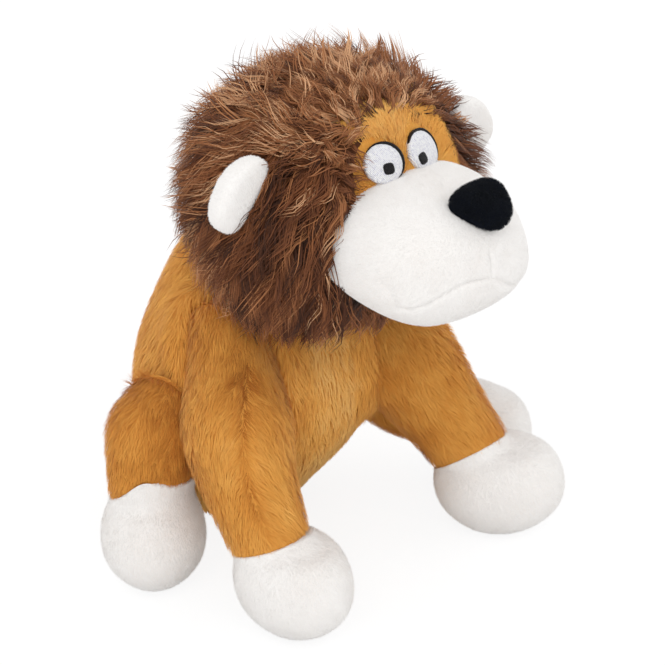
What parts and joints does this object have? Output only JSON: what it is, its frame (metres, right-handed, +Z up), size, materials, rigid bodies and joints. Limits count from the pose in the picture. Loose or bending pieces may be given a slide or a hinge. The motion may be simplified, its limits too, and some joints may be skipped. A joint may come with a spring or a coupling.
{
  "type": "plush lion",
  "caption": "Sitting plush lion with a shaggy brown mane, orange pile body, white muzzle and paws and stitched eyes; its head, legs, ears and tail flex at their sewn seams.",
  "frame": {"origin": "centre of the flat under the rump, where the lion rests on the ground", "axes": "+Z up, -Y the way the lion faces, +X towards its own left side"},
  "size_m": [0.2562, 0.2584, 0.276],
  "materials": {
    "orange_pile": "long soft pile",
    "mane_pile": "shaggy long pile",
    "white_velour": "short velour pile",
    "black_pile": "short plush pile",
    "eye_thread": "satin embroidery",
    "charcoal_thread": "satin embroidery",
    "filling": "fibre filling"
  },
  "bodies": {
    "torso": {"torso_skin": "orange_pile", "torso_filling": "filling"},
    "neck": {"neck_filling": "filling"},
    "head": {"face_skin": "orange_pile", "mane": "mane_pile", "head_filling": "filling", "muzzle_left_panel": "white_velour", "muzzle_right_panel": "white_velour", "chin_panel": "white_velour", "nose": "black_pile", "eye_left_white": "eye_thread", "eye_left_rim": "charcoal_thread", "eye_left_pupil": "charcoal_thread", "eye_right_white": "eye_thread", "eye_right_rim": "charcoal_thread", "eye_right_pupil": "charcoal_thread"},
    "ear_left": {"ear_left": "white_velour"},
    "ear_right": {"ear_right": "white_velour"},
    "tail": {"tail": "orange_pile", "tail_tuft": "mane_pile"},
    "front_left_leg": {"front_left_leg_skin": "orange_pile", "front_left_paw": "white_velour", "front_left_leg_filling": "filling"},
    "front_right_leg": {"front_right_leg_skin": "orange_pile", "front_right_paw": "white_velour", "front_right_leg_filling": "filling"},
    "rear_left_leg": {"rear_left_leg_skin": "orange_pile", "rear_left_paw": "white_velour", "rear_left_leg_filling": "filling"},
    "rear_right_leg": {"rear_right_leg_skin": "orange_pile", "rear_right_paw": "white_velour", "rear_right_leg_filling": "filling"}
  },
  "joints": [
    {"name": "head_turn", "type": "hinge", "parent": "torso", "child": "neck", "pos_m": [0, -0.0409, 0.16], "axis": [0, 0, 1], "range_deg": [-15, 15], "stiffness_Nm_per_rad": 2},
    {"name": "head_nod", "type": "hinge", "parent": "neck", "child": "head", "pos_m": [0, -0.0409, 0.16], "axis": [1, 0, 0], "range_deg": [-8, 8], "stiffness_Nm_per_rad": 3},
    {"name": "ear_left_flap", "type": "hinge", "parent": "head", "child": "ear_left", "pos_m": [0.06734, -0.0849, 0.221], "axis": [0, 0, 1], "range_deg": [-20, 20], "stiffness_Nm_per_rad": 0.05},
    {"name": "ear_right_flap", "type": "hinge", "parent": "head", "child": "ear_right", "pos_m": [-0.06269, -0.0849, 0.234], "axis": [0, 0, 1], "range_deg": [-20, 20], "stiffness_Nm_per_rad": 0.05},
    {"name": "tail_swing", "type": "hinge", "parent": "torso", "child": "tail", "pos_m": [0, 0.03926, 0.05], "axis": [0, 0, 1], "range_deg": [-15, 25], "stiffness_Nm_per_rad": 0.08},
    {"name": "front_left_leg_swing", "type": "hinge", "parent": "torso", "child": "front_left_leg", "pos_m": [0.0463, -0.0489, 0.118], "axis": [1, 0, 0], "range_deg": [-25, 0], "stiffness_Nm_per_rad": 2},
    {"name": "front_right_leg_swing", "type": "hinge", "parent": "torso", "child": "front_right_leg", "pos_m": [-0.0463, -0.0489, 0.118], "axis": [1, 0, 0], "range_deg": [-25, 0], "stiffness_Nm_per_rad": 2},
    {"name": "rear_left_leg_splay", "type": "hinge", "parent": "torso", "child": "rear_left_leg", "pos_m": [0.06542, -0.0189, 0.092], "axis": [0, 0, 1], "range_deg": [0, 30], "stiffness_Nm_per_rad": 2},
    {"name": "rear_right_leg_splay", "type": "hinge", "parent": "torso", "child": "rear_right_leg", "pos_m": [-0.06542, -0.0189, 0.092], "axis": [0, 0, 1], "range_deg": [-30, 0], "stiffness_Nm_per_rad": 2}
  ]
}
